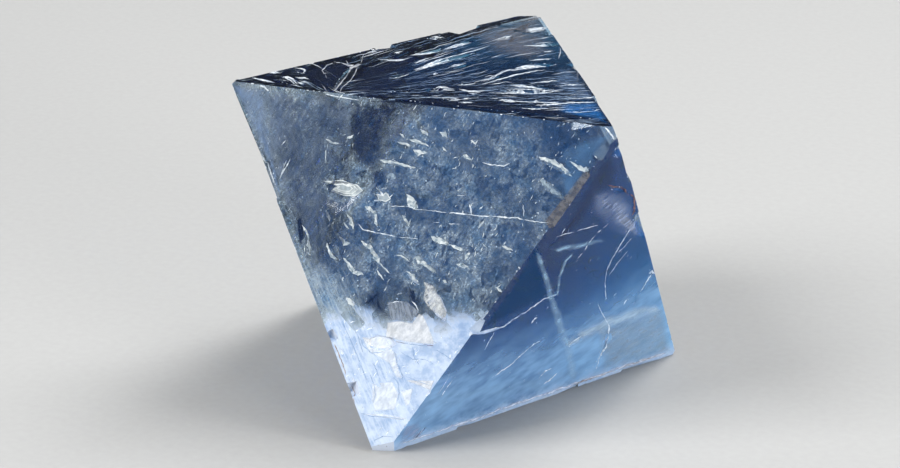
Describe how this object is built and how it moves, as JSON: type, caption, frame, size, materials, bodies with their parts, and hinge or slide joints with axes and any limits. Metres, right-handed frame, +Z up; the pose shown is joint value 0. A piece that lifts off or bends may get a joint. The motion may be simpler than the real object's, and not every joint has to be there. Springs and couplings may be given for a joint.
{
  "type": "fluorite octahedron",
  "caption": "Clear slate blue fluorite crystal split along its cleavage into an octahedron, resting on a flat face, with scarred, stepped faces and chipped edges.",
  "frame": {"origin": "on the surface that the crystal rests on, under the middle of the crystal", "axes": "+Z up, square to the top and bottom faces; +X along the front edge of the top face; the front face looks to -Y"},
  "size_m": [0.051, 0.0564, 0.0408],
  "materials": {
    "fluorite": "clear slate blue, with glassy to frosted cleavage faces and pearly white flakes and cracks"
  },
  "bodies": {
    "root": {"fluorite_octahedron": "fluorite"}
  },
  "joints": []
}
